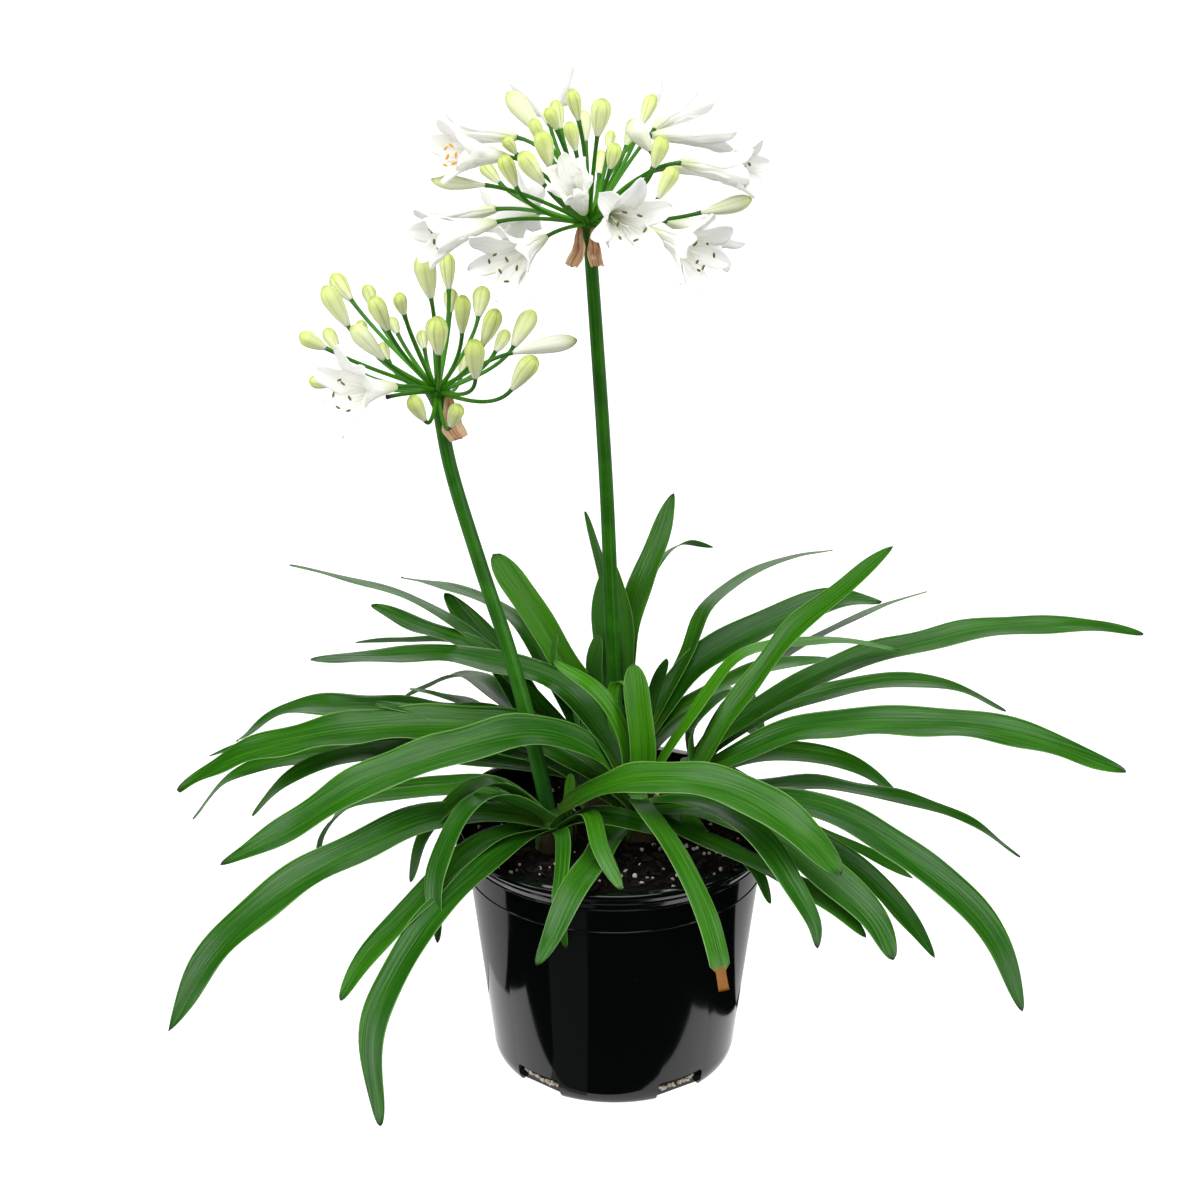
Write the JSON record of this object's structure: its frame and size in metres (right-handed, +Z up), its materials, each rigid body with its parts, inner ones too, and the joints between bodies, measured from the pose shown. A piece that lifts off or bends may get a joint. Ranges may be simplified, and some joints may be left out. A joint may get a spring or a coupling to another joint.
{
  "type": "agapanthus plant",
  "caption": "White agapanthus in a round black nursery pot: arching strap leaves round upright flower stems that carry heads of buds and open funnel flowers.",
  "frame": {"origin": "middle of the pot's underside, on the surface that the pot stands on", "axes": "+Z up along the pot's axis, +X to the right and +Y away from the viewer when the plant is seen from its front"},
  "size_m": [0.5614, 0.4259, 0.5706],
  "materials": {
    "pot_plastic": "gloss",
    "soil": "matte",
    "leaf": "satin",
    "stem": "satin",
    "petal": "matte",
    "bract": "matte"
  },
  "bodies": {
    "root": {"pot": "pot_plastic", "soil": "soil", "leaves_front_left": "leaf", "leaves_back_left": "leaf", "leaves_middle": "leaf", "leaves_right": "leaf", "leaves_back": "leaf", "leaves_back_right": "leaf", "flower_stem_tall": "stem", "bract_tall_1": "bract", "bract_tall_2": "bract", "flower_tall_1": "petal", "flower_tall_2": "petal", "flower_tall_3": "petal", "flower_tall_4": "petal", "flower_tall_5": "petal", "flower_tall_6": "petal", "flower_tall_7": "petal", "flower_tall_8": "petal", "flower_tall_9": "petal", "flower_tall_10": "petal", "flower_tall_11": "petal", "flower_tall_12": "petal", "flower_tall_13": "petal", "flower_tall_14": "petal", "flower_tall_15": "petal", "flower_tall_16": "petal", "flower_stem_left": "stem", "bract_left_1": "bract", "flower_left_1": "petal"}
  },
  "joints": []
}
